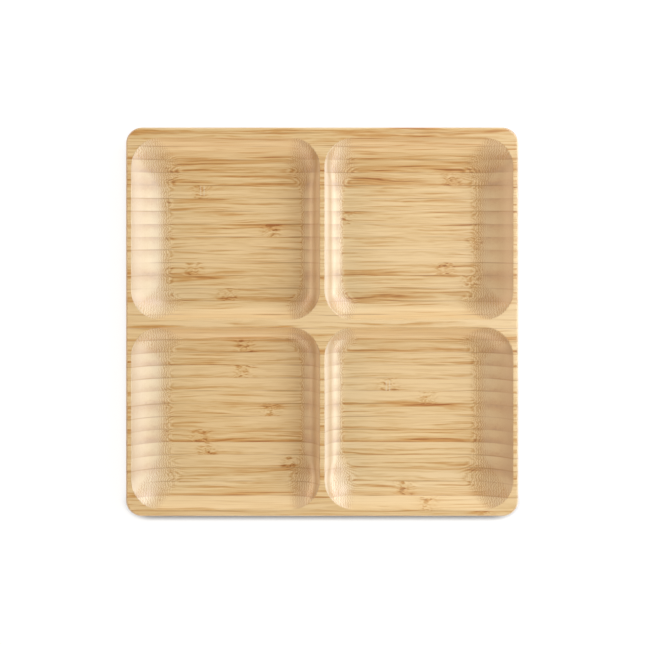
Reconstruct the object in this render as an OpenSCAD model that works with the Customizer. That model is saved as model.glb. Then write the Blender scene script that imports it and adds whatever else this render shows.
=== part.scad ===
// Square bamboo plate with four compartments.
// The plate is a board glued up from bamboo strips that stand on edge and run along X,
// and the compartments are milled into it across the glue lines. Every strip is a piece
// of its own. Millimetres, +Z up, origin at the middle of the underside, back at +Y.

/* [Board] */
// Width of the plate, which is the length of every strip
plate_w = 205; // [180:1:260]
// Depth of the plate from front to back, which its strips fill side by side
plate_d = 203; // [186:1:243]
// Height of the plate, which is the height of every strip
plate_h = 16; // [13.5:0.5:22]
// What trimming the board leaves of its front and back strips
edge_strip_t = 2.9; // [2.5:0.1:3.4]

/* [Outline] */
// Radius of the four corners seen from above
corner_r = 8.4; // [6:0.2:14]
// Roundover of the upper outer edge
top_edge_r = 1.2; // [0.6:0.1:2]
// Roundover of the lower outer edge, which gives the fingers a hold
bottom_edge_r = 3.2; // [1:0.1:5]

/* [Rims and dividers] */
// Width of the rim at the left and right
side_rim = 2.9; // [2.4:0.1:6]
// Width of the rim at the back
back_rim = 5.3; // [4:0.1:7]
// Width of the rim at the front
front_rim = 3.6; // [3.4:0.1:6]
// Width of the divider between left and right
side_divider = 2.9; // [2:0.1:6]
// Width of the divider between front and back
end_divider = 4.2; // [2:0.1:6]

/* [Compartments] */
// Depth of the compartments below the rim
pocket_depth = 9.5; // [6:0.5:10]
// Width of the hollow walls along the outside of the plate
outer_wall_w = 21.6; // [14:0.2:24]
// Width of the hollow walls along the dividers
divider_wall_w = 10.7; // [10.2:0.1:14]
// Corner radius of a compartment at the rim
opening_r = 15.4; // [12:0.2:22]
// Corner radius of a compartment's flat floor
floor_r = 9.3; // [6:0.1:12]
// Radius to which the edges between walls and rim are sanded
sanded_r = 0.5; // [0.2:0.1:0.8]

/* [Hidden] */
// Strips in the board, an odd number, so that one of them carries the middle divider
strip_count = 31;
// Facets of a wall's hollow, of its sanded edge, and of a corner's quarter turn
wall_facets = 7;
sanded_facets = 2;
corner_facets = 7;
// How far a cut runs past the board
overrun = 1;
// The bamboo's colour, and how light one strip is against another
bamboo = [0.88, 0.74, 0.55];
tone_shares = [1, 0.95, 1.03, 0.98, 0.92, 1.01, 0.96];

// Thickness of a full strip, from one glue line to the next
strip_t = (plate_d - 2 * edge_strip_t) / (strip_count - 2);

floor_z = plate_h - pocket_depth;
divider_y = (front_rim - back_rim) / 2;
opening_w = (plate_w - side_divider) / 2 - side_rim;
opening_d = (plate_d - end_divider - back_rim - front_rim) / 2;

// Glue line in front of strip i, or the front of the plate for the first strip
function front_of(i) =
    i == 1 ? -plate_d / 2
    : i > strip_count ? plate_d / 2
    : (i - 1 - strip_count / 2) * strip_t;

// A wall is an arc that leaves the floor level and turns up to the rim. This is the
// angle that it turns through, which is its slope at the rim
function wall_sweep(w) = 2 * atan2(pocket_depth, w);

// How far a wall has come from the floor's edge at height z
function wall_reach(z, w) =
    let (r = pocket_depth / (1 - cos(wall_sweep(w))))
    r * sin(acos(1 - z / r));

// Distance from the edge of the opening to a wall at height z. It is under zero at the
// top, where the sanded edge opens out onto the rim
function wall_inset(z, w) =
    let (
        sweep = wall_sweep(w),
        drop = pocket_depth - z
    )
    drop < sanded_r * (1 - cos(sweep))
        ? sanded_r * (sin(acos(1 - drop / sanded_r)) - tan(sweep / 2))
        : w - wall_reach(z, w);

// Corner radius of a compartment at height z
function corner_at(z) =
    opening_r - (opening_r - floor_r) * pow(1 - sqrt(z / pocket_depth), 2);

// Heights above the floor that the walls are lofted through, from the floor to the rim
sanded_sweep = wall_sweep(divider_wall_w);
wall_r = pocket_depth / (1 - cos(sanded_sweep));
wall_top = pocket_depth - sanded_r * (1 - cos(sanded_sweep));
wall_top_angle = acos(1 - wall_top / wall_r);
levels = concat(
    [for (i = [0:wall_facets]) wall_r * (1 - cos(wall_top_angle * i / wall_facets))],
    [
        for (i = [1:sanded_facets])
        pocket_depth - sanded_r * (1 - cos(sanded_sweep * (1 - i / sanded_facets)))
    ]
);

// Sides of the compartment at height z: left, right, near the divider and near the rim
function left_at(z) = side_divider / 2 + wall_inset(z, divider_wall_w);
function right_at(z) = side_divider / 2 + opening_w - wall_inset(z, outer_wall_w);
function near_at(z) = end_divider / 2 + wall_inset(z, divider_wall_w);
function far_at(z) = end_divider / 2 + opening_d - wall_inset(z, outer_wall_w);

// Where the side walls run straight, between the rounding of the corners
middle = (end_divider + opening_d) / 2;
straight_from = max([for (z = levels) near_at(z) + corner_at(z)]);
straight_to = min([for (z = levels) far_at(z) - corner_at(z)]);

// Quarter turn of radius r about centre, from a start angle
function quarter_turn(centre, r, start) = [
    for (i = [0:corner_facets])
    let (a = start + 90 * i / corner_facets)
    centre + r * [cos(a), sin(a)]
];

// Outline at height z of the half of a compartment that lies at the rim
function rim_half(z) =
    let (r = corner_at(z), left = left_at(z), right = right_at(z), far = far_at(z))
    concat(
        [[right, middle]],
        quarter_turn([right - r, far - r], r, 0),
        quarter_turn([left + r, far - r], r, 90),
        [[left, middle]]
    );

// Outline at height z of the half of a compartment that lies at the divider
function divider_half(z) =
    let (r = corner_at(z), left = left_at(z), right = right_at(z), near = near_at(z))
    concat(
        [[left, middle]],
        quarter_turn([left + r, near + r], r, 180),
        quarter_turn([right - r, near + r], r, 270),
        [[right, middle]]
    );

// Outline put at height z
function raised(outline, z) = [for (p = outline) [p.x, p.y, z]];

// Solid lofted from the bottom up through outlines that have the same number of points
module loft(outlines) {
    n = len(outlines[0]);
    last = len(outlines) - 1;
    sides = [
        for (k = [0:last - 1], i = [0:n - 1])
        let (a = k * n + i, b = k * n + (i + 1) % n)
        each [[a, a + n, b], [b, a + n, b + n]]
    ];
    polyhedron(
        points = [for (outline = outlines) each outline],
        faces = concat(
            [[for (i = [0:n - 1]) i]],
            sides,
            [[for (i = [n - 1:-1:0]) last * n + i]]
        ),
        convexity = 4
    );
}

// Cut for the half of a compartment that lies at the rim
module rim_half_cut() {
    loft(concat(
        [for (z = levels) raised(rim_half(z), floor_z + z)],
        [raised(rim_half(pocket_depth), plate_h + overrun)]
    ));
}

// Cut for the half of a compartment that lies at the divider
module divider_half_cut() {
    loft(concat(
        [for (z = levels) raised(divider_half(z), floor_z + z)],
        [raised(divider_half(pocket_depth), plate_h + overrun)]
    ));
}

// Cut for a strip that meets only the floor and the straight side walls
module straight_cut(from, to) {
    top = plate_h + overrun;
    translate([0, to, 0])
        rotate([90, 0, 0])
        linear_extrude(to - from)
        polygon(concat(
            [for (z = levels) [right_at(z), floor_z + z]],
            [[right_at(pocket_depth), top], [left_at(pocket_depth), top]],
            [for (i = [len(levels) - 1:-1:0]) [left_at(levels[i]), floor_z + levels[i]]]
        ));
}

// Cut of one compartment for a strip that lies between from and to, measured from the
// middle of the divider
module compartment_cut(from, to) {
    if (from > straight_from && to < straight_to) {
        straight_cut(from, to);
    } else {
        if (to > middle && from < far_at(pocket_depth))
            rim_half_cut();
        if (from < middle && to > near_at(pocket_depth))
            divider_half_cut();
    }
}

// Upright section through the outer edge, from its axis out to reach
module edge_section(reach) {
    square([reach - bottom_edge_r, plate_h - top_edge_r]);
    translate([0, bottom_edge_r])
        square([reach, plate_h - bottom_edge_r - top_edge_r]);
    translate([0, bottom_edge_r])
        square([reach - top_edge_r, plate_h - bottom_edge_r]);
    translate([reach - bottom_edge_r, bottom_edge_r])
        circle(bottom_edge_r);
    translate([reach - top_edge_r, plate_h - top_edge_r])
        circle(top_edge_r);
}

// The glued board, cut to its outline and rounded over, before it is milled
module board() {
    straight_w = plate_w - 2 * corner_r;
    straight_d = plate_d - 2 * corner_r;
    for (side = [0, 1]) {
        // Left and right edges
        mirror([side, 0, 0])
            translate([0, straight_d / 2, 0])
            rotate([90, 0, 0])
            linear_extrude(straight_d)
            edge_section(plate_w / 2);
        // Front and back edges
        mirror([0, side, 0])
            translate([-straight_w / 2, 0, 0])
            rotate([90, 0, 90])
            linear_extrude(straight_w)
            edge_section(plate_d / 2);
        // Corners
        for (end = [0, 1])
            mirror([side, 0, 0])
            mirror([0, end, 0])
            translate([straight_w / 2, straight_d / 2, 0])
            rotate_extrude()
            edge_section(corner_r);
    }
}

// One strip of the board, with its share of the compartments
module strip(i) {
    front = front_of(i);
    back = front_of(i + 1);
    color(bamboo * tone_shares[i % len(tone_shares)])
    difference() {
        intersection() {
            board();
            translate([-plate_w / 2 - overrun, front, -overrun])
                cube([plate_w + 2 * overrun, back - front, plate_h + 2 * overrun]);
        }
        translate([0, divider_y, 0])
            for (side = [0, 1])
            mirror([side, 0, 0]) {
                compartment_cut(front - divider_y, back - divider_y);
                mirror([0, 1, 0])
                    compartment_cut(divider_y - back, divider_y - front);
            }
    }
}

for (i = [1:strip_count])
    strip(i);
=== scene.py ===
"""Square bamboo plate with four milled compartments, on a white table in a soft studio.

The plate is glued up from bamboo strips. Each strip is cut from one finely meshed board,
so that its walls, sanded edges and rounded outline run on across the glue lines, and it
takes the place of the plain strip that model.glb brings in.
"""

import logging
import math
import random
from collections.abc import Sequence
from dataclasses import dataclass
from enum import Enum

import bmesh
import bpy
from mathutils import Matrix, Vector


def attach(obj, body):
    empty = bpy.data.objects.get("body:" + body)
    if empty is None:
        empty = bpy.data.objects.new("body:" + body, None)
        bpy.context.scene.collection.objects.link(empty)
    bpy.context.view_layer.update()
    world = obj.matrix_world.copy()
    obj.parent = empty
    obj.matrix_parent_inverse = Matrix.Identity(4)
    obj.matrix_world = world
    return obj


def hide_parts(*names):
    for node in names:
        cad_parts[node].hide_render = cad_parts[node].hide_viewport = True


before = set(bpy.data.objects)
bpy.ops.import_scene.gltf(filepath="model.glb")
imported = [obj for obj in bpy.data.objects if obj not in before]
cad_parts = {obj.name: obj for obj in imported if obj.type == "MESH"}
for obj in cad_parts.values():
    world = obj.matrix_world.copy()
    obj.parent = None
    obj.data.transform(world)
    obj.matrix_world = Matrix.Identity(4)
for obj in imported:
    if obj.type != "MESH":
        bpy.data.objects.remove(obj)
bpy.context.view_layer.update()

MM = 0.001
BODY = "root"
WHITE = (1.0, 1.0, 1.0, 1.0)
# Settings that many nodes share
SMOOTH = {"interpolation_type": "SMOOTHSTEP"}
ADD = {"operation": "ADD"}
SUBTRACT = {"operation": "SUBTRACT"}
MULTIPLY = {"operation": "MULTIPLY"}
MULTIPLY_ADD = {"operation": "MULTIPLY_ADD"}
ABSOLUTE = {"operation": "ABSOLUTE"}
SCALE = {"operation": "SCALE"}
# What each strip's mesh says about the strip, for the material to read
MARKS = ("strip_number", "strip_tone", "skin_at_back", "scarred", "first_node", "second_node")

Tree = bpy.types.NodeTree
Socket = bpy.types.NodeSocket
# What can feed an input: a socket, a node's first output, a number or a vector
Source = Socket | bpy.types.Node | float | tuple[float, ...]
Place = dict[str, Source]

log = logging.getLogger("plate")


def linear_colour(code: str) -> tuple[float, float, float, float]:
    """Turns an sRGB hex colour into the linear colour that a socket takes.

    Args:
        code: The colour as six hex digits after a hash sign.

    Returns:
        Linear red, green, blue and an alpha of one.
    """
    shares = [int(code[i : i + 2], 16) / 255 for i in (1, 3, 5)]
    linear = [s / 12.92 if s <= 0.04045 else ((s + 0.055) / 1.055) ** 2.4 for s in shares]
    return (linear[0], linear[1], linear[2], 1.0)


def add_node(
    tree: Tree,
    kind: str,
    settings: dict[str, object] | None = None,
    inputs: Sequence[Source] | dict[int | str, Source] = (),
) -> bpy.types.Node:
    """Adds a node with its settings, its values and its links.

    Args:
        tree: The node tree that the node goes into.
        kind: The node's type, without the prefix that all shader nodes share.
        settings: Values of the node's own properties.
        inputs: What feeds the inputs, in their order, or by name or number.

    Returns:
        The new node.
    """
    node = tree.nodes.new("ShaderNode" + kind)
    for name, value in (settings or {}).items():
        setattr(node, name, value)
    fed = inputs.items() if isinstance(inputs, dict) else enumerate(inputs)
    for key, source in fed:
        if isinstance(source, bpy.types.Node):
            source = source.outputs[0]
        if isinstance(source, Socket):
            tree.links.new(source, node.inputs[key])
        else:
            node.inputs[key].default_value = source
    return node


def seen_rays(tree: Tree) -> Source:
    """Picks out the rays that see the background, by themselves or in gloss or glass.

    Args:
        tree: The node tree of the background's material or world.

    Returns:
        What is 1 for such a ray and 0 for one that carries light.
    """
    path = add_node(tree, "LightPath")
    seen = path.outputs["Is Camera Ray"]
    for name in ("Is Glossy Ray", "Is Transmission Ray"):
        seen = add_node(tree, "Math", {"operation": "MAXIMUM"}, (seen, path.outputs[name]))
    return seen


@dataclass(frozen=True)
class PlateSizes:
    """Sizes of the plate in millimetres, with the same names and values as in CAD."""

    width: float = 205.0
    depth: float = 203.0
    height: float = 16.0
    corner_r: float = 8.4
    top_edge_r: float = 1.2
    bottom_edge_r: float = 3.2
    side_rim: float = 2.9
    back_rim: float = 5.3
    front_rim: float = 3.6
    side_divider: float = 2.9
    end_divider: float = 4.2
    pocket_depth: float = 9.5
    outer_wall_w: float = 21.6
    divider_wall_w: float = 10.7
    opening_r: float = 15.4
    floor_r: float = 9.3
    sanded_r: float = 0.5
    strip_t: float = 6.8
    edge_strip_t: float = 2.9
    strips: int = 31

    @property
    def divider_y(self) -> float:
        """Place of the divider between front and back, which the wider back rim moves."""
        return (self.front_rim - self.back_rim) / 2

    @property
    def opening_w(self) -> float:
        """Width of a compartment's opening."""
        return (self.width - self.side_divider) / 2 - self.side_rim

    @property
    def opening_d(self) -> float:
        """Depth, front to back, of a compartment's opening."""
        return (self.depth - self.end_divider - self.back_rim - self.front_rim) / 2

    def front_of(self, index: int) -> float:
        """Gives the glue line in front of a strip.

        Args:
            index: Number of the strip, from 1 at the front. One past the last strip
                gives the back of the plate.

        Returns:
            The glue line's place along Y.
        """
        if index == 1:
            return -self.depth / 2
        if index > self.strips:
            return self.depth / 2
        return (index - 1 - self.strips / 2) * self.strip_t


@dataclass(frozen=True)
class HollowWall:
    """Wall that leaves the floor level and turns up in an arc to the sanded rim."""

    width: float
    depth: float
    sanded_r: float

    @property
    def sweep(self) -> float:
        """Angle in radians that the arc turns through, which is its slope at the rim."""
        return 2 * math.atan2(self.depth, self.width)

    @property
    def radius(self) -> float:
        """Radius of the arc."""
        return self.depth / (1 - math.cos(self.sweep))

    def inset(self, height: float) -> float:
        """Gives how far the wall stands inside the edge of the opening.

        Args:
            height: Height above the floor.

        Returns:
            The distance, which is under zero where the sanded edge opens onto the rim.
        """
        drop = self.depth - height
        if drop < self.sanded_r * (1 - math.cos(self.sweep)):
            turn = math.acos(1 - drop / self.sanded_r)
            return self.sanded_r * (math.sin(turn) - math.tan(self.sweep / 2))
        return self.width - self.radius * math.sin(math.acos(1 - height / self.radius))


@dataclass
class MilledBoard:
    """The whole glued board as one fine mesh, before it is cut along the glue lines."""

    sizes: PlateSizes
    corner_steps: int = 24
    wall_steps: int = 22
    sanded_steps: int = 6
    edge_steps: int = 6
    # Millimetres within which two points become one
    weld: float = 0.001

    def __post_init__(self) -> None:
        """Prepares the two kinds of wall and an empty mesh."""
        s = self.sizes
        self.outer = HollowWall(s.outer_wall_w, s.pocket_depth, s.sanded_r)
        self.inner = HollowWall(s.divider_wall_w, s.pocket_depth, s.sanded_r)
        self.mesh = bmesh.new()

    def levels(self) -> list[float]:
        """Lists the heights above the floor that a compartment is lofted through.

        Returns:
            Heights from the floor to the rim, close together at the sanded edge.
        """
        wall, r = self.inner, self.sizes.sanded_r
        top = wall.depth - r * (1 - math.cos(wall.sweep))
        turn = math.acos(1 - top / wall.radius)
        steps = [
            wall.radius * (1 - math.cos(turn * i / self.wall_steps))
            for i in range(self.wall_steps + 1)
        ]
        sanded = [
            wall.depth - r * (1 - math.cos(wall.sweep * (1 - i / self.sanded_steps)))
            for i in range(1, self.sanded_steps + 1)
        ]
        return steps + sanded

    def opening_corners(self, height: float) -> list[tuple[float, float, float, float]]:
        """Gives the four rounded corners of a compartment at one height.

        Args:
            height: Height above the floor.

        Returns:
            Centre along X, centre along Y, radius and first angle of each corner,
            counted from the middle of the plate's dividers.
        """
        s = self.sizes
        fall = (1 - math.sqrt(height / s.pocket_depth)) ** 2
        r = s.opening_r - (s.opening_r - s.floor_r) * fall
        left = s.side_divider / 2 + self.inner.inset(height)
        near = s.end_divider / 2 + self.inner.inset(height)
        right = s.side_divider / 2 + s.opening_w - self.outer.inset(height)
        far = s.end_divider / 2 + s.opening_d - self.outer.inset(height)
        return [
            (right - r, far - r, r, 0.0),
            (left + r, far - r, r, math.pi / 2),
            (left + r, near + r, r, math.pi),
            (right - r, near + r, r, 3 * math.pi / 2),
        ]

    def opening_ring(self, height: float) -> list[tuple[float, float]]:
        """Gives the outline of a compartment at one height.

        Args:
            height: Height above the floor.

        Returns:
            Points once round the outline.
        """
        ring = []
        for x, y, r, start in self.opening_corners(height):
            for i in range(self.corner_steps + 1):
                a = start + math.pi / 2 * i / self.corner_steps
                ring.append((x + r * math.cos(a), y + r * math.sin(a)))
        return ring

    def rim_ring(self, reach_y: float) -> list[tuple[float, float]]:
        """Gives the border of the flat rim round one compartment.

        Args:
            reach_y: Distance from the divider's middle to the plate's front or back.

        Returns:
            Points that match those of opening_ring one for one.
        """
        s, n = self.sizes, self.corner_steps
        edge_x, edge_y = s.width / 2 - s.top_edge_r, reach_y - s.top_edge_r
        corners = self.opening_corners(s.pocket_depth)
        ring = []
        x, y, r = s.width / 2 - s.corner_r, reach_y - s.corner_r, s.corner_r - s.top_edge_r
        for i in range(n + 1):
            a = math.pi / 2 * i / n
            ring.append((x + r * math.cos(a), y + r * math.sin(a)))
        squares = [
            ((corners[1][0], edge_y), (0.0, edge_y), (0.0, corners[1][1])),
            ((0.0, corners[2][1]), (0.0, 0.0), (corners[2][0], 0.0)),
            ((corners[3][0], 0.0), (edge_x, 0.0), (edge_x, corners[3][1])),
        ]
        for first, corner, last in squares:
            for i in range(n + 1):
                t = 2 * i / n
                a, b, t = (first, corner, t) if t <= 1 else (corner, last, t - 1)
                ring.append((a[0] + (b[0] - a[0]) * t, a[1] + (b[1] - a[1]) * t))
        return ring

    def edge_profile(self) -> list[tuple[float, float]]:
        """Gives the section of the outer edge, from the rim to the underside.

        Returns:
            Distance outwards from the rim's border, and height, for each point.
        """
        s, n = self.sizes, self.edge_steps
        top = [
            (
                s.top_edge_r * math.sin(math.pi / 2 * i / n),
                s.height - s.top_edge_r * (1 - math.cos(math.pi / 2 * i / n)),
            )
            for i in range(1, n + 1)
        ]
        foot = [
            (
                s.top_edge_r - s.bottom_edge_r * (1 - math.cos(math.pi / 2 * i / n)),
                s.bottom_edge_r * (1 - math.sin(math.pi / 2 * i / n)),
            )
            for i in range(n + 1)
        ]
        return top + foot

    def add_quarter(self, side: int, end: int) -> None:
        """Adds the quarter of the board round one compartment.

        Args:
            side: 1 for the right half and -1 for the left half.
            end: 1 for the back half and -1 for the front half.
        """
        s, n = self.sizes, self.corner_steps
        reach_y = s.depth / 2 - end * s.divider_y
        flip = side * end < 0

        def vert(x: float, y: float, z: float) -> bmesh.types.BMVert:
            """Adds a point given from the middle of the dividers."""
            return self.mesh.verts.new((side * x, end * y + s.divider_y, z))

        def face(corners: list[bmesh.types.BMVert]) -> None:
            """Adds a face that looks out of the wood in every quarter."""
            self.mesh.faces.new(corners[::-1] if flip else corners)

        floor_z = s.height - s.pocket_depth
        rings = [
            [vert(x, y, floor_z + z) for x, y in self.opening_ring(z)]
            for z in self.levels()
        ]
        border = self.rim_ring(reach_y)
        rings.append([vert(x, y, s.height) for x, y in border])
        face(rings[0])
        count = len(rings[0])
        for low, high in zip(rings, rings[1:]):
            for i in range(count):
                j = (i + 1) % count
                face([low[j], low[i], high[i], high[j]])

        # The outer edge runs from the middle of the side round the corner to the middle
        # of the end, and these are its points in the rim's border.
        first = 3 * (n + 1) + n // 2
        path = [i % count for i in range(first, first + 2 * n + 3)]
        strands = []
        for i in path:
            x, y = border[i]
            if i <= n:
                a = math.pi / 2 * i / n
                out = (math.cos(a), math.sin(a))
            else:
                out = (1.0, 0.0) if i > 2 * n else (0.0, 1.0)
            strands.append(
                [rings[-1][i]]
                + [vert(x + out[0] * o, y + out[1] * o, z) for o, z in self.edge_profile()]
            )
        for a, b in zip(strands, strands[1:]):
            for k in range(len(a) - 1):
                face([a[k], a[k + 1], b[k + 1], b[k]])
        face([vert(0, 0, 0)] + [strand[-1] for strand in reversed(strands)])

    def build(self) -> bmesh.types.BMesh:
        """Builds the board and keeps its smooth normals in a layer that cuts carry over.

        Returns:
            The board's mesh in millimetres, with the layer named smooth.
        """
        for end in (1, -1):
            for side in (1, -1):
                self.add_quarter(side, end)
        bmesh.ops.remove_doubles(self.mesh, verts=self.mesh.verts, dist=self.weld)
        self.mesh.normal_update()
        layer = self.mesh.verts.layers.float_vector.new("smooth")
        for vert in self.mesh.verts:
            total = Vector((0, 0, 0))
            for face in vert.link_faces:
                total += face.normal * face.calc_area()
            vert[layer] = total.normalized()
        return self.mesh


class Culm(Enum):
    """Where in the bamboo culm a strip was split from, with its share of darkness."""

    PALE = -0.12
    EVEN = 0.0
    DARK = 0.13


@dataclass(frozen=True)
class StripLook:
    """How one bamboo strip differs from its neighbours."""

    index: int
    culm: Culm
    tone: float
    skin_at_back: bool
    scarred: bool
    nodes: tuple[float, ...]


@dataclass
class StripPlate:
    """The plate as its glued bamboo strips, each one a piece of its own."""

    sizes: PlateSizes
    bamboo: bpy.types.Material
    seed: int = 11
    # Most by which two strips from the same part of the culm differ in darkness
    tone_range: float = 0.05
    # Millimetres within which a point lies on a cut
    on_cut: float = 0.0001
    # A face of a cut looks along Y and covers more than this, in square metres
    cut_normal: float = 0.999
    cut_area: float = 4e-5

    # Places of the culm's nodes along the strips that show one, in millimetres from the
    # middle of the plate, by the number of the strip
    NODES_ALONG = {
        1: (86.0,),
        2: (56.0,),
        3: (43.0,),
        5: (-17.0,),
        6: (-61.0,),
        7: (-65.0,),
        9: (-27.0,),
        10: (56.0,),
        11: (35.0,),
        12: (-42.0,),
        14: (-41.0,),
        18: (-50.0,),
        19: (79.0,),
        20: (-68.0, 65.0),
        22: (82.0,),
        23: (-27.0,),
        24: (12.0,),
        26: (-63.5,),
        27: (69.0,),
    }
    # Strips by number: those whose node is only a scar, those that turn their darker skin
    # side back, and those from the pale and the dark parts of the culm
    SCARRED = {11, 26}
    SKIN_AT_BACK = {4, 9, 17, 19, 21, 22, 23, 24, 25, 26, 30}
    PALE_STRIPS = {2, 5, 6, 10, 11, 12, 15, 16, 17, 21}
    DARK_STRIPS = {1, 7, 27, 28}

    def culm_of(self, index: int) -> Culm:
        """Tells from which part of the culm a strip comes.

        Args:
            index: Number of the strip.

        Returns:
            The part of the culm.
        """
        if index in self.PALE_STRIPS:
            return Culm.PALE
        return Culm.DARK if index in self.DARK_STRIPS else Culm.EVEN

    def looks(self) -> list[StripLook]:
        """Draws the look of every strip, with small differences from a seeded source.

        Returns:
            One look for each strip, from the front to the back.
        """
        draw = random.Random(self.seed)
        return [
            StripLook(
                index=i,
                culm=self.culm_of(i),
                tone=draw.uniform(-self.tone_range, self.tone_range),
                skin_at_back=i in self.SKIN_AT_BACK,
                scarred=i in self.SCARRED,
                nodes=self.NODES_ALONG.get(i, ()),
            )
            for i in range(1, self.sizes.strips + 1)
        ]

    def build(self) -> None:
        """Cuts the board along its glue lines and puts each strip in its place."""
        board = MilledBoard(self.sizes).build()
        for look in self.looks():
            self.add_strip(board, look)
        board.free()

    def add_strip(self, board: bmesh.types.BMesh, look: StripLook) -> None:
        """Cuts one strip from the board, dresses it and puts it on its CAD strip.

        Args:
            board: The whole board's mesh in millimetres.
            look: The strip's number, tone and nodes.
        """
        front = self.sizes.front_of(look.index)
        back = self.sizes.front_of(look.index + 1)
        bm = board.copy()
        for place, direction in ((front, -1), (back, 1)):
            cut = bmesh.ops.bisect_plane(
                bm,
                geom=bm.verts[:] + bm.edges[:] + bm.faces[:],
                dist=self.on_cut,
                plane_co=(0, place, 0),
                plane_no=(0, direction, 0),
                clear_outer=True,
            )
            edges = [
                e
                for e in cut["geom_cut"]
                if isinstance(e, bmesh.types.BMEdge) and e.is_valid and e.is_boundary
            ]
            if edges:
                bmesh.ops.holes_fill(bm, edges=edges, sides=0)
        bmesh.ops.scale(bm, vec=(MM, MM, MM), verts=bm.verts)
        bm.normal_update()
        name = f"bamboo_strip_{look.index:02d}"
        self.place_strip(bm, name, look)
        bm.free()

    def place_strip(self, bm: bmesh.types.BMesh, name: str, look: StripLook) -> None:
        """Turns a cut mesh into the piece that stands for a CAD strip.

        Args:
            bm: The strip's mesh in metres.
            name: The name of the CAD strip.
            look: The strip's number, tone and nodes.
        """
        layer = bm.verts.layers.float_vector["smooth"]
        bm.verts.ensure_lookup_table()
        smooth = [v[layer].normalized() for v in bm.verts]
        normals = []
        for face in bm.faces:
            face.smooth = True
            across = abs(face.normal.y) > self.cut_normal
            flat = across and face.calc_area() > self.cut_area
            for loop in face.loops:
                normals.append(face.normal.copy() if flat else smooth[loop.vert.index])
        mesh = bpy.data.meshes.new("milled_" + name)
        bm.to_mesh(mesh)
        mesh.normals_split_custom_set(normals)
        self.write_look(mesh, look)
        mesh.materials.append(self.bamboo)
        piece = bpy.data.objects.new("milled_" + name, mesh)
        bpy.context.scene.collection.objects.link(piece)
        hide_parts(name)
        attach(piece, BODY)
        log.info("%s: %d faces, nodes at %s", piece.name, len(mesh.polygons), look.nodes)

    def write_look(self, mesh: bpy.types.Mesh, look: StripLook) -> None:
        """Writes a strip's look into its mesh, where the material reads it.

        Args:
            mesh: The strip's mesh.
            look: The strip's number, tone and nodes.
        """
        nowhere = 1000.0
        values = (
            float(look.index),
            look.culm.value + look.tone,
            float(look.skin_at_back),
            float(look.scarred),
            *(*look.nodes, nowhere, nowhere)[:2],
        )
        for name, value in zip(MARKS, values, strict=True):
            layer = mesh.attributes.new(name, "FLOAT", "POINT")
            layer.data.foreach_set("value", [value] * len(mesh.vertices))


class Grain(Enum):
    """Noises that mark the wood, stretched along its fibres.

    Each has the millimetres that it takes to change along X, Y and Z, its finer layers,
    and a shift to a part of the noise that no other uses.
    """

    WANDER = ((42.0, 7.0, 9.0), 1.0, 3.0)
    SWIRL = ((4.5, 3.2, 3.2), 1.0, 11.0)
    BROAD_STREAKS = ((60.0, 2.4, 1.6), 2.0, 21.0)
    LENSES = ((38.0, 1.1, 0.7), 1.0, 31.0)
    FIBRES = ((18.0, 0.35, 0.3), 1.0, 41.0)
    BROKEN_ROWS = ((9.0, 1.3, 1.0), 1.0, 51.0)
    FLECKS = ((3.6, 1.0, 1.0), 1.0, 61.0)
    SKIN_BANDS = ((34.0, 14.0, 9.0), 1.0, 81.0)
    JAGGED_CUTS = ((5.0, 0.9, 1.2), 1.0, 91.0)


class Fade(Enum):
    """Soft steps in the wood: where each begins and ends, and its values there.

    Those on a slope read how far the wood leans towards X, from 0 for level to 1 for
    upright. Those across a strip read shares of its thickness.
    """

    NEAR_NODE_MM = (1.0, 8.0, 1.0, 0.0)
    GOLDEN_LENS = (0.52, 0.74, 0.0, 1.0)
    PALE_LENS = (0.48, 0.3, 0.0, 1.0)
    SKIN_ACROSS = (0.25, 1.05, 1.0, 0.0)
    SKIN_ON_SLOPE = (0.1, 0.4, 0.14, 0.5)
    BAND_ACROSS = (0.29, 0.56, 1.0, 0.0)
    BAND_ALONG = (0.42, 0.66, 0.05, 1.0)
    KNOT_FLECK = (0.46, 0.66, -0.06, 0.5)
    STREAKS_ON_SLOPE = (0.1, 0.3, 1.0, 0.3)
    ROWS_ON_SLOPE = (0.26, 0.4, 0.5, 0.05)
    ROWS_OFF_LEVEL = (0.0, 0.05, 0.45, 1.0)
    HATCH_OFF_LEVEL = (0.0, 0.18, 0.0, 0.56)
    HATCH_ON_SLOPE = (0.18, 0.34, 1.0, 0.08)
    HATCH_LINE = (-0.6, 1.0, 0.0, 1.0)
    GLUE_ACROSS = (0.0, 0.07, 1.0, 0.0)
    GLUE_ALONG = (0.4, 0.68, 0.06, 0.5)
    SCAR_LINE_MM = (0.15, 0.45, 0.45, 0.0)
    SCAR_ACROSS = (0.72, 0.86, 1.0, 0.0)
    # The last three go on by slope: pale cut ends partly with painted sheen, dark steep ends partly
    # with painted shade, and painted sheen on upright walls
    BLEACH_AND_SHEEN_ON_SLOPE = (0.02, 0.34, 0.0, 0.48)
    DARK_END_AND_SHADE_ON_SLOPE = (0.42, 0.72, 0.0, 0.64)
    PAINTED_SHEEN_UPRIGHT = (0.74, 0.92, 0.0, 0.5)


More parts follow.
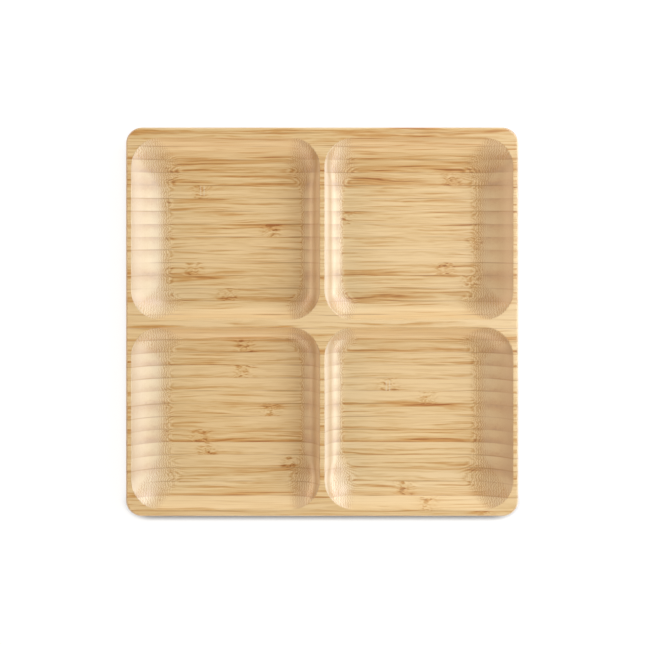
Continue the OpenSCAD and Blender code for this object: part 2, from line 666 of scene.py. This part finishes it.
@dataclass(frozen=True)
class OiledBamboo:
    """Laminated bamboo, planed, milled, sanded and wiped with oil.

    The oil gives a satin sheen where a wall faces the light. Lengthways cuts show the
    vascular bundles as golden streaks in straw-coloured wood, denser towards each strip's
    skin side. Slanted cuts show rows of their ends, and by their slope look paler, partly
    because cut ends scatter more light and partly as painted sheen; steep ones are darker,
    partly as cut ends and partly as painted shade, and upright ones carry painted sheen.
    """

    sizes: PlateSizes
    pale: str = "#F9DFAF"
    straw: str = "#ECCD95"
    honey: str = "#D8A45E"
    bundle: str = "#B06C2E"
    glue: str = "#A86E31"
    # Colours laid on by slope: the pale one is partly cut ends and partly painted sheen, the dark
    # one partly cut ends and partly painted shade, the upright one painted sheen
    bleached_end_and_sheen: str = "#E3D8C3"
    dark_end_and_shade: str = "#B59972"
    painted_upright_sheen: str = "#F0E6D8"
    fibre_end: str = "#C49148"
    scar: str = "#F6EBD6"
    # Darkness of the wood before its marks
    plain_darkness: float = 0.24
    # How far apart two strips lie in a noise, and the share of its finer layers
    strip_shift: float = 7.31
    finer_share: float = 0.55
    # Millimetres along X, Y and Z by which the fibres wander, and swirl round a node
    wander: tuple[float, float, float] = (0.0, 4.5, 0.8)
    swirl: tuple[float, float, float] = (0.0, 3.0, 1.5)
    # Share of the way across a strip, from its skin side, at which the arched rows of
    # bundles turn, and how strongly they arch
    arch_middle: float = 0.35
    arch_rise: float = 1.9
    # How far the skin side's edge follows the wandering fibres
    edge_wander: float = 0.5
    # Millimetres up the strip between two rows of vascular bundles
    row_gap: float = 0.28
    # Millimetres between two lines of the hatching, drawn coarser than the real fibres
    hatch_gap: float = 1.2
    # Radians by which noise breaks up the rows and the hatching
    row_jitter: float = 9.0
    hatch_jitter: float = 14.0
    # How far a lean towards Y, as in the corners, lets the hatching climb a wall
    corner_climb: float = 1.1
    # Millimetres along a glue line within which it comes and goes
    glue_run: float = 36.0
    # Millimetres from the middle of a node to each line of its scar
    scar_gap: float = 0.9
    # Depth in millimetres of the grain that sanding leaves, its strength, and how much
    # deeper the bundles lie than the wood between them
    grain_depth: float = 0.04
    grain_strength: float = 0.25
    bundle_depth: float = 0.7
    roughness: float = 0.42
    # Dried oil on wood is near 1.5
    ior: float = 1.5
    # The film of oil, which is smoother than the wood under it
    oil: float = 1.0
    oil_roughness: float = 0.28

    def build(self) -> bpy.types.Material:
        """Builds the material.

        Returns:
            The material for every strip.
        """
        mat = bpy.data.materials.new("laminated_bamboo_sanded_and_oiled")
        mat.use_nodes = True
        tree = mat.node_tree
        tree.nodes.clear()
        place = self.place(tree)
        self.bend(tree, place)
        rows = self.bundle_rows(tree, place)
        fibre = self.noise(tree, place, Grain.FIBRES)
        wood = self.wood_colour(tree, self.darkness(tree, place, rows, fibre))
        for share, code in (
            *self.cut_ends_sheen_and_shade(tree, place),
            (self.hatch(tree, place), self.fibre_end),
            (self.glue_lines(tree, place), self.glue),
            (self.scars(tree, place), self.scar),
        ):
            mixed = add_node(
                tree,
                "Mix",
                {"data_type": "RGBA"},
                {"Factor": share, 6: wood, 7: linear_colour(code)},
            )
            wood = mixed.outputs[2]
        self.surface(tree, rows, fibre, wood)
        return mat

    def place(self, tree: Tree) -> Place:
        """Works out where a point lies in the board and in its own strip.

        Args:
            tree: The material's nodes.

        Returns:
            What feeds the rest: the point and its X in millimetres, the strips counted
            across the board, the way across a strip from its skin side, how far the wood
            leans towards X and Y, and what the strip's mesh says about it.
        """
        coords = add_node(tree, "TexCoord")
        point = add_node(tree, "VectorMath", SCALE, {0: coords.outputs["Object"], "Scale": 1 / MM})
        xyz = add_node(tree, "SeparateXYZ", {}, (point,))
        first = self.sizes.depth / 2 - self.sizes.edge_strip_t
        behind = add_node(tree, "Math", ADD, (xyz.outputs["Y"], first))
        strips = add_node(tree, "Math", {"operation": "DIVIDE"}, (behind, self.sizes.strip_t))
        from_front = add_node(tree, "Math", {"operation": "FRACT"}, (strips,))
        from_back = add_node(tree, "Math", SUBTRACT, (1.0, from_front))
        said = {
            name: add_node(tree, "Attribute", {"attribute_name": name}).outputs["Fac"]
            for name in MARKS
        }
        inward = add_node(
            tree,
            "Mix",
            {"data_type": "FLOAT"},
            {0: said["skin_at_back"], 2: from_front, 3: from_back},
        )
        normal = add_node(tree, "SeparateXYZ", {}, (coords.outputs["Normal"],))
        slope, turn = (add_node(tree, "Math", ABSOLUTE, (normal.outputs[axis],)) for axis in "XY")
        return {
            "point": point,
            "x": xyz.outputs["X"],
            "strips": strips,
            "inward": inward,
            "slope": slope,
            "turn": turn,
            **said,
        }

    def noise(self, tree: Tree, place: Place, grain: Grain) -> bpy.types.Node:
        """Adds a stretched noise that differs from strip to strip.

        Args:
            tree: The material's nodes.
            place: What place and bend give.
            grain: Which noise.

        Returns:
            The noise node.
        """
        size, detail, shift = grain.value
        point = place.get("bent", place["point"])
        scaled = add_node(tree, "VectorMath", MULTIPLY, (point, tuple(1 / mm for mm in size)))
        number = add_node(
            tree, "Math", MULTIPLY_ADD, (place["strip_number"], self.strip_shift, shift)
        )
        return add_node(
            tree,
            "TexNoise",
            {"noise_dimensions": "4D"},
            {
                "Vector": scaled,
                "W": number,
                "Scale": 1.0,
                "Detail": detail,
                "Roughness": self.finer_share,
            },
        )

    def bend(self, tree: Tree, place: Place) -> None:
        """Lets the fibres wander along a strip and swirl round the culm's nodes.

        Args:
            tree: The material's nodes.
            place: What place gives. It gains the point moved with the fibres, the wander,
                the gap to the nearest node and the closeness to it.
        """
        gaps = []
        for name in ("first_node", "second_node"):
            gap = add_node(tree, "Math", SUBTRACT, (place["x"], place[name]))
            gaps.append(add_node(tree, "Math", ABSOLUTE, (gap,)))
        place["gap"] = add_node(tree, "Math", {"operation": "MINIMUM"}, gaps)
        place["near"] = add_node(tree, "MapRange", SMOOTH, (place["gap"], *Fade.NEAR_NODE_MM.value))
        place["wander"] = self.noise(tree, place, Grain.WANDER)
        swirl = self.noise(tree, place, Grain.SWIRL)
        moved = place["point"]
        for source, amount, share in (
            (place["wander"], self.wander, 1.0),
            (swirl, self.swirl, place["near"]),
        ):
            centred = add_node(
                tree, "VectorMath", SUBTRACT, (source.outputs["Color"], (0.5, 0.5, 0.5))
            )
            full = add_node(tree, "VectorMath", MULTIPLY, (centred, amount))
            step = add_node(tree, "VectorMath", SCALE, {0: full, "Scale": share})
            moved = add_node(tree, "VectorMath", ADD, (moved, step))
        off = add_node(tree, "Math", SUBTRACT, (place["inward"], self.arch_middle))
        arch = add_node(tree, "Math", MULTIPLY, (off, off))
        rise = add_node(
            tree,
            "Mix",
            {"data_type": "FLOAT"},
            {0: place["skin_at_back"], 2: self.arch_rise, 3: -self.arch_rise},
        )
        raised = add_node(tree, "Math", MULTIPLY, (arch, rise))
        lift = add_node(tree, "CombineXYZ", {}, {"Z": raised})
        place["bent"] = add_node(tree, "VectorMath", ADD, (moved, lift))

    def lines(
        self, tree: Tree, across: Source, gap: float, broken: Source, jitter: float
    ) -> bpy.types.Node:
        """Draws parallel lines that a noise breaks up.

        Args:
            tree: The material's nodes.
            across: The way across the lines in millimetres.
            gap: Millimetres from one line to the next.
            broken: The noise.
            jitter: Radians by which the noise moves the lines.

        Returns:
            The node that swings between -1 and 1 from line to line.
        """
        turns = add_node(tree, "Math", MULTIPLY, (across, 2 * math.pi / gap))
        phase = add_node(tree, "Math", MULTIPLY_ADD, (broken, jitter, turns))
        return add_node(tree, "Math", {"operation": "SINE"}, (phase,))

    def bundle_rows(self, tree: Tree, place: Place) -> bpy.types.Node:
        """Draws the vascular bundles, which stand in arched rows across a strip.

        Args:
            tree: The material's nodes.
            place: What place and bend give.

        Returns:
            The node that is near 1 in a bundle and near 0 between bundles.
        """
        height = add_node(tree, "SeparateXYZ", {}, (place["bent"],)).outputs["Z"]
        broken = self.noise(tree, place, Grain.BROKEN_ROWS)
        wave = self.lines(tree, height, self.row_gap, broken, self.row_jitter)
        sloping, off_level = (
            add_node(tree, "MapRange", SMOOTH, (place["slope"], *fade.value))
            for fade in (Fade.ROWS_ON_SLOPE, Fade.ROWS_OFF_LEVEL)
        )
        shown = add_node(tree, "Math", MULTIPLY, (sloping, off_level))
        return add_node(tree, "Math", MULTIPLY_ADD, (wave, shown, 0.5))

    def weigh(
        self, tree: Tree, start: float, marks: list[tuple[Source, float, float]]
    ) -> bpy.types.Node:
        """Adds up marks, each with its own weight.

        Args:
            tree: The material's nodes.
            start: What the sum starts from.
            marks: What feeds each mark, its weight, and its value that adds nothing.

        Returns:
            The node of the sum.
        """
        total = start - sum(weight * zero for _, weight, zero in marks)
        for mark, weight, _ in marks:
            total = add_node(tree, "Math", MULTIPLY_ADD, (mark, weight, total))
        return total

    def darkness(
        self, tree: Tree, place: Place, rows: Source, fibre: Source
    ) -> bpy.types.Node:
        """Adds up how dark the wood is, from its streaks, its skin side and its nodes.

        Args:
            tree: The material's nodes.
            place: What place and bend give.
            rows: The rows of bundles.
            fibre: The noise of the fine fibres.

        Returns:
            The node of the darkness, from 0 to 1.
        """
        broad, lens, band, flecks = (
            self.noise(tree, place, grain)
            for grain in (Grain.BROAD_STREAKS, Grain.LENSES, Grain.SKIN_BANDS, Grain.FLECKS)
        )
        edge = add_node(
            tree, "Math", MULTIPLY_ADD, (place["wander"], self.edge_wander, place["inward"])
        )
        faded = {
            fade: add_node(tree, "MapRange", SMOOTH, (source, *fade.value))
            for source, fade in (
                (lens, Fade.GOLDEN_LENS),
                (lens, Fade.PALE_LENS),
                (edge, Fade.SKIN_ACROSS),
                (edge, Fade.BAND_ACROSS),
                (band, Fade.BAND_ALONG),
                (flecks, Fade.KNOT_FLECK),
                (place["slope"], Fade.STREAKS_ON_SLOPE),
                (place["slope"], Fade.SKIN_ON_SLOPE),
            )
        }
        skin, skin_band, knot = (
            add_node(tree, "Math", MULTIPLY, pair)
            for pair in (
                (faded[Fade.SKIN_ACROSS], faded[Fade.SKIN_ON_SLOPE]),
                (faded[Fade.BAND_ACROSS], faded[Fade.BAND_ALONG]),
                (faded[Fade.KNOT_FLECK], place["near"]),
            )
        )
        streaks = self.weigh(
            tree,
            0.0,
            [
                (broad, 0.88, 0.5),
                (faded[Fade.GOLDEN_LENS], 0.42, 0.1),
                (faded[Fade.PALE_LENS], -0.24, 0.1),
                (fibre, 0.28, 0.5),
                (skin_band, 0.26, 0.08),
                (knot, 0.8, 0.0),
                (place["near"], 0.13, 0.0),
            ],
        )
        lengthways = add_node(tree, "Math", MULTIPLY, (streaks, faded[Fade.STREAKS_ON_SLOPE]))
        return self.weigh(
            tree,
            self.plain_darkness,
            [
                (place["strip_tone"], 1.0, 0.0),
                (lengthways, 1.0, 0.0),
                (skin, 1.0, 0.0),
                (rows, 0.46, 0.5),
            ],
        )

    def wood_colour(self, tree: Tree, darkness: Source) -> Socket:
        """Turns the darkness into the colours of the wood.

        Args:
            tree: The material's nodes.
            darkness: The darkness, from 0 to 1.

        Returns:
            The socket of the wood's colour.
        """
        ramp = add_node(tree, "ValToRGB", {}, (darkness,))
        stops = ((0.0, self.pale), (0.33, self.straw), (0.66, self.honey), (1.0, self.bundle))
        elements = ramp.color_ramp.elements
        while len(elements) < len(stops):
            elements.new(0.5)
        for element, (at, code) in zip(elements, stops):
            element.position = at
            element.color = linear_colour(code)
        return ramp.outputs["Color"]

    def cut_ends_sheen_and_shade(self, tree: Tree, place: Place) -> list[tuple[Source, str]]:
        """Lays colours on by slope: slanted cuts paler, partly as cut ends and partly as painted
        sheen; steep ones darker, partly as cut ends and partly as painted shade; upright ones
        pale with painted sheen.

        Args:
            tree: The material's nodes.
            place: What place and bend give.

        Returns:
            Colours to lay over the wood, each after how much of it is seen.
        """
        return [
            (add_node(tree, "MapRange", SMOOTH, (place["slope"], *fade.value)), code)
            for fade, code in (
                (Fade.BLEACH_AND_SHEEN_ON_SLOPE, self.bleached_end_and_sheen),
                (Fade.DARK_END_AND_SHADE_ON_SLOPE, self.dark_end_and_shade),
                (Fade.PAINTED_SHEEN_UPRIGHT, self.painted_upright_sheen),
            )
        ]

    def hatch(self, tree: Tree, place: Place) -> Source:
        """Draws the fine jagged lines of cut fibres across a slanted cut.

        Args:
            tree: The material's nodes.
            place: What place and bend give.

        Returns:
            How much of the fibres' colour is seen.
        """
        jagged = self.noise(tree, place, Grain.JAGGED_CUTS)
        wave = self.lines(tree, place["x"], self.hatch_gap, jagged, self.hatch_jitter)
        turned = add_node(
            tree, "Math", MULTIPLY_ADD, (place["turn"], -self.corner_climb, place["slope"])
        )
        share: Source = 1.0
        for source, fade in (
            (place["slope"], Fade.HATCH_OFF_LEVEL),
            (turned, Fade.HATCH_ON_SLOPE),
            (wave, Fade.HATCH_LINE),
        ):
            part = add_node(tree, "MapRange", SMOOTH, (source, *fade.value))
            share = add_node(tree, "Math", MULTIPLY, (share, part))
        return share

    def glue_lines(self, tree: Tree, place: Place) -> Source:
        """Draws the brown line where two strips are glued, which comes and goes.

        Args:
            tree: The material's nodes.
            place: What place and bend give.

        Returns:
            How much of the glue's colour is seen.
        """
        line = add_node(tree, "Math", {"operation": "ROUND"}, (place["strips"],))
        off = add_node(tree, "Math", SUBTRACT, (place["strips"], line))
        off = add_node(tree, "Math", ABSOLUTE, (off,))
        along = add_node(tree, "Math", MULTIPLY, (place["x"], 1 / self.glue_run))
        at = add_node(tree, "CombineXYZ", {}, (along, line))
        run = add_node(
            tree,
            "TexNoise",
            {"noise_dimensions": "2D"},
            {"Vector": at, "Scale": 1.0, "Detail": 1.0},
        )
        film = add_node(tree, "MapRange", SMOOTH, (off, *Fade.GLUE_ACROSS.value))
        shown = add_node(tree, "MapRange", SMOOTH, (run, *Fade.GLUE_ALONG.value))
        return add_node(tree, "Math", MULTIPLY, (film, shown))

    def scars(self, tree: Tree, place: Place) -> Source:
        """Draws the pair of pale lines across a strip that a node's scar leaves.

        Args:
            tree: The material's nodes.
            place: What place and bend give.

        Returns:
            How much of the scar's colour is seen.
        """
        off = add_node(tree, "Math", SUBTRACT, (place["gap"], self.scar_gap))
        off = add_node(tree, "Math", ABSOLUTE, (off,))
        share = place["scarred"]
        for source, fade in ((place["inward"], Fade.SCAR_ACROSS), (off, Fade.SCAR_LINE_MM)):
            part = add_node(tree, "MapRange", SMOOTH, (source, *fade.value))
            share = add_node(tree, "Math", MULTIPLY, (part, share))
        return share

    def surface(self, tree: Tree, rows: Source, fibre: Source, colour: Socket) -> None:
        """Adds the sanded and oiled surface.

        Args:
            tree: The material's nodes.
            rows: The rows of bundles.
            fibre: The noise of the fine fibres.
            colour: The finished colour.
        """
        grain = add_node(tree, "Math", MULTIPLY_ADD, (rows, -self.bundle_depth, fibre))
        bump = add_node(
            tree,
            "Bump",
            {},
            {"Strength": self.grain_strength, "Distance": self.grain_depth * MM, "Height": grain},
        )
        shader = add_node(
            tree,
            "BsdfPrincipled",
            {},
            {
                "Base Color": colour,
                "Roughness": self.roughness,
                "IOR": self.ior,
                "Coat Weight": self.oil,
                "Coat Roughness": self.oil_roughness,
                "Normal": bump,
            },
        )
        add_node(tree, "OutputMaterial", {}, {"Surface": shader})


@dataclass(frozen=True)
class WhiteTable:
    """Matt white laminate table, with a painted shadow in front of the plate.

    It sends soft light back at the plate's edges. The camera sees it as white, with the
    plate's own shadow, and with a narrow dark line of painted shade beside the front edge,
    where occlusion that looks towards the back, as if soft light came from behind, finds the
    plate in its way.
    """

    white: str = "#F2F2F2"
    # Share of the lamps' light that the camera sees on the table, and the plain light
    # that it sees besides
    lit_share: float = 0.16
    lift: float = 0.95
    # Millimetres from the plate's front edge within which the painted shadow darkens the table
    painted_contact_shadow: float = 8.0
    # Which way the painted shadow looks for the plate, towards the back as if soft light came
    # from behind, and the share of its rays that find no plate at which the table looks black
    # in the dark line and at which it looks white
    from_back: tuple[float, float, float] = (0.0, 1.0, 0.15)
    black_share: float = 0.585
    white_share: float = 0.93
    # Rays that look for the plate from each point of the table
    samples: int = 12
    # Places along Y in metres between which the painted dark line comes in, near the front edge
    line_from: float = -0.09
    line_to: float = -0.098

    def build(self) -> bpy.types.Material:
        """Builds the material.

        Returns:
            The material for the table.
        """
        mat = bpy.data.materials.new("white_laminate_table")
        mat.use_nodes = True
        tree = mat.node_tree
        tree.nodes.clear()
        # Painted shade: occlusion that looks towards the back dims the table's white glow, down to
        # black only along the plate's front edge
        from_back = add_node(tree, "CombineXYZ", {}, self.from_back)
        painted_contact_shadow = add_node(
            tree,
            "AmbientOcclusion",
            {"samples": self.samples},
            {"Distance": self.painted_contact_shadow * MM, "Normal": from_back},
        )
        coords = add_node(tree, "TexCoord")
        xyz = add_node(tree, "SeparateXYZ", {}, (coords.outputs["Object"],))
        line = (self.line_from, self.line_to, 0.0, self.black_share)
        black_at = add_node(tree, "MapRange", {}, (xyz.outputs["Y"], *line))
        shades = (black_at, self.white_share, 0.0, self.lift)
        strength = add_node(tree, "MapRange", {}, (painted_contact_shadow.outputs["AO"], *shades))
        plain = add_node(tree, "Emission", {}, {"Color": WHITE, "Strength": strength})
        bright = linear_colour(self.white)
        dimmed = tuple(self.lit_share * v for v in bright[:3]) + (1.0,)
        lit = add_node(tree, "BsdfDiffuse", {}, {"Color": dimmed})
        seen = add_node(tree, "AddShader", {}, (lit, plain))
        matt = add_node(tree, "BsdfDiffuse", {}, {"Color": bright})
        mixed = add_node(tree, "MixShader", {}, (seen_rays(tree), matt, seen))
        add_node(tree, "OutputMaterial", {}, {"Surface": mixed})
        return mat


@dataclass(frozen=True)
class Softbox:
    """A softbox: where it stands as seen from the plate, its size and its light."""

    # Degrees from the plate's right side towards its back, and above the table
    azimuth: float
    elevation: float
    # Metres
    distance: float
    width: float
    height: float
    watts: float
    colour: str = "#FFFFFF"

    @property
    def place(self) -> Vector:
        """Where the softbox stands, in metres from the middle of the plate."""
        turn, rise = math.radians(self.azimuth), math.radians(self.elevation)
        flat = self.distance * math.cos(rise)
        return Vector(
            (flat * math.cos(turn), flat * math.sin(turn), self.distance * math.sin(rise))
        )


class Lamp(Enum):
    """The studio's softboxes, with the values in the order of Softbox's fields."""

    KEY = Softbox(34, 18, 1.3, 1.7, 0.6, 7.6)
    CORNER_SHEEN = Softbox(44, 47, 1.3, 0.36, 0.4, 4.0)
    FRONT_KEY = Softbox(-6, 26, 1.3, 2.2, 0.62, 11.8)
    SHEEN = Softbox(0, 60, 1.3, 0.3, 0.62, 2.7)
    LEFT_BACK = Softbox(162, 17, 1.5, 1.5, 0.6, 10.4, "#FFDCB2")
    LEFT_FRONT = Softbox(232, 24, 1.5, 1.2, 0.6, 4.6, "#FFDCB2")
    FRONT = Softbox(270, 24, 1.5, 1.0, 0.6, 2.6, "#FFDCB2")


@dataclass
class Studio:
    """White table, pale walls and softboxes round the plate."""

    sizes: PlateSizes
    # Light from the walls at the table's height, and from the ceiling
    walls: float = 0.03
    ceiling: float = 0.01
    # How white the ceiling looks where the walls look fully white
    seen_ceiling: float = 0.2
    # Sines of the angles above the table between which the walls turn into the ceiling
    walls_to: float = 0.35
    ceiling_from: float = 0.85
    wall_colour: str = "#FFEFDC"
    table_size: float = 6.0

    def build(self) -> None:
        """Builds the table, the walls and the lamps."""
        self.add_table()
        self.light_walls()
        for lamp in Lamp:
            self.add_lamp(lamp)

    def add_table(self) -> None:
        """Adds the table that the plate lies on."""
        mesh = bpy.data.meshes.new("table")
        half = self.table_size / 2
        corners = [(-half, -half, 0), (half, -half, 0), (half, half, 0), (-half, half, 0)]
        mesh.from_pydata(corners, [], [(0, 1, 2, 3)])
        mesh.materials.append(WhiteTable().build())
        table = bpy.data.objects.new("table", mesh)
        bpy.context.scene.collection.objects.link(table)
        log.info("table: %.1f m square", self.table_size)

    def light_walls(self) -> None:
        """Lights the plate softly from the walls, which are lighter than the ceiling."""
        world = bpy.data.worlds.new("pale_studio_walls")
        bpy.context.scene.world = world
        world.use_nodes = True
        tree = world.node_tree
        tree.nodes.clear()
        coords = add_node(tree, "TexCoord")
        xyz = add_node(tree, "SeparateXYZ", {}, (coords.outputs["Generated"],))
        shades = []
        for colour, low, high in (
            (linear_colour(self.wall_colour), self.walls, self.ceiling),
            (WHITE, 1.0, self.seen_ceiling),
        ):
            step = (self.walls_to, self.ceiling_from, low, high)
            strength = add_node(tree, "MapRange", SMOOTH, (xyz.outputs["Z"], *step))
            inputs = {"Color": colour, "Strength": strength}
            shades.append(add_node(tree, "Background", {}, inputs))
        mixed = add_node(tree, "MixShader", {}, (seen_rays(tree), *shades))
        add_node(tree, "OutputWorld", {}, {"Surface": mixed})
        log.info("walls: strength %.2f, ceiling %.2f", self.walls, self.ceiling)

    def add_lamp(self, lamp: Lamp) -> None:
        """Adds a softbox that looks at the plate.

        Args:
            lamp: Which softbox.
        """
        box = lamp.value
        data = bpy.data.lights.new(lamp.name.lower() + "_softbox", "AREA")
        data.shape = "RECTANGLE"
        data.size, data.size_y = box.width, box.height
        data.energy = box.watts
        data.color = linear_colour(box.colour)[:3]
        softbox = bpy.data.objects.new(data.name, data)
        softbox.location = box.place
        softbox.rotation_euler = (-box.place).to_track_quat("-Z", "Y").to_euler()
        bpy.context.scene.collection.objects.link(softbox)
        log.info("%s: %.1f W", data.name, box.watts)


@dataclass
class PlateCamera:
    """Camera that looks straight down on the plate.

    It hangs over the back half of the plate, as the photograph shows, and its shift
    brings the plate to the middle of the picture.
    """

    sizes: PlateSizes
    # Millimetres that the picture's width covers at the height of the rim, from the rim
    # up to the camera, and across the camera's sensor
    span: float = 336.4
    distance: float = 539.5
    sensor: float = 36.0
    # Where the camera hangs, and what the middle of the picture shows, in millimetres
    # from the middle of the plate
    nadir_x: float = -6.0
    nadir_y: float = 52.6
    centre_x: float = 0.15
    centre_y: float = -0.3

    def build(self) -> None:
        """Builds the camera and makes it the scene's own."""
        data = bpy.data.cameras.new("overhead_camera")
        data.sensor_width = self.sensor
        data.lens = self.sensor * self.distance / self.span
        data.shift_x = (self.centre_x - self.nadir_x) / self.span
        data.shift_y = (self.centre_y - self.nadir_y) / self.span
        camera = bpy.data.objects.new("overhead_camera", data)
        camera.matrix_world = Matrix.Translation(
            (self.nadir_x * MM, self.nadir_y * MM, (self.sizes.height + self.distance) * MM)
        )
        bpy.context.scene.collection.objects.link(camera)
        bpy.context.scene.camera = camera
        log.info("camera: %.1f mm lens", data.lens)


def main() -> None:
    """Builds the plate and its studio."""
    logging.basicConfig(level=logging.INFO, format="%(name)s: %(message)s")
    bpy.context.scene.view_settings.view_transform = "Standard"
    sizes = PlateSizes()
    StripPlate(sizes, OiledBamboo(sizes).build()).build()
    Studio(sizes).build()
    PlateCamera(sizes).build()


if __name__ == "__main__":
    main()
